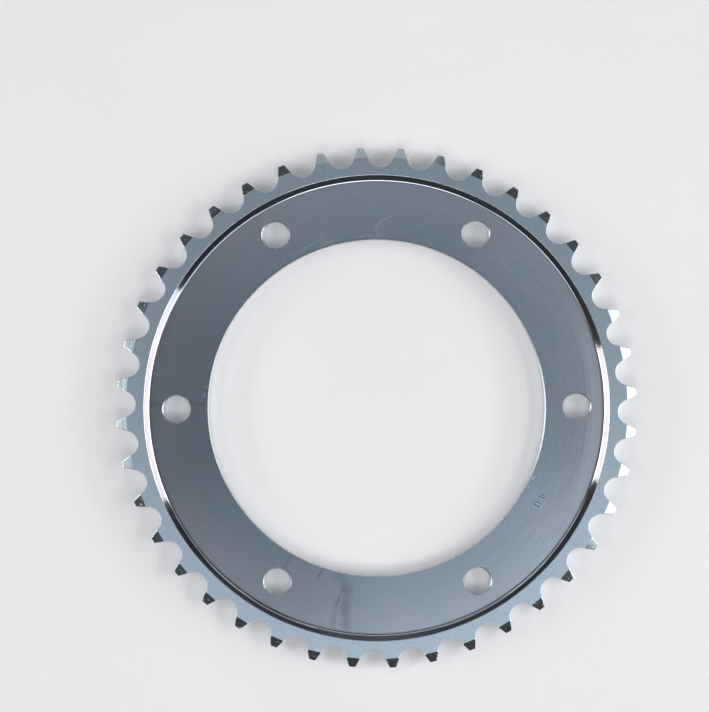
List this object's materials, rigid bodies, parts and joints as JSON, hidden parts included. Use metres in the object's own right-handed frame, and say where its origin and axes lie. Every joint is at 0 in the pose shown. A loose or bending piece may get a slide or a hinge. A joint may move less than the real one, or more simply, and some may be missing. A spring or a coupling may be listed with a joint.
{
  "type": "chain sprocket",
  "caption": "Flat steel rear chain sprocket: a toothed rim round a thinner, recessed ring with a large hub bore and a circle of bolt holes.",
  "frame": {"origin": "centre of the bore on the flat face that lies against the hub", "axes": "+Z along the wheel axis, from the hub face to the recessed face; +X through the first bolt hole"},
  "size_m": [0.2072, 0.2072, 0.0088],
  "materials": {
    "zinc_plated_steel": "bright zinc plating, matt on the toothed rim and finely turned on the recessed ring"
  },
  "bodies": {
    "root": {"sprocket": "zinc_plated_steel"}
  },
  "joints": []
}
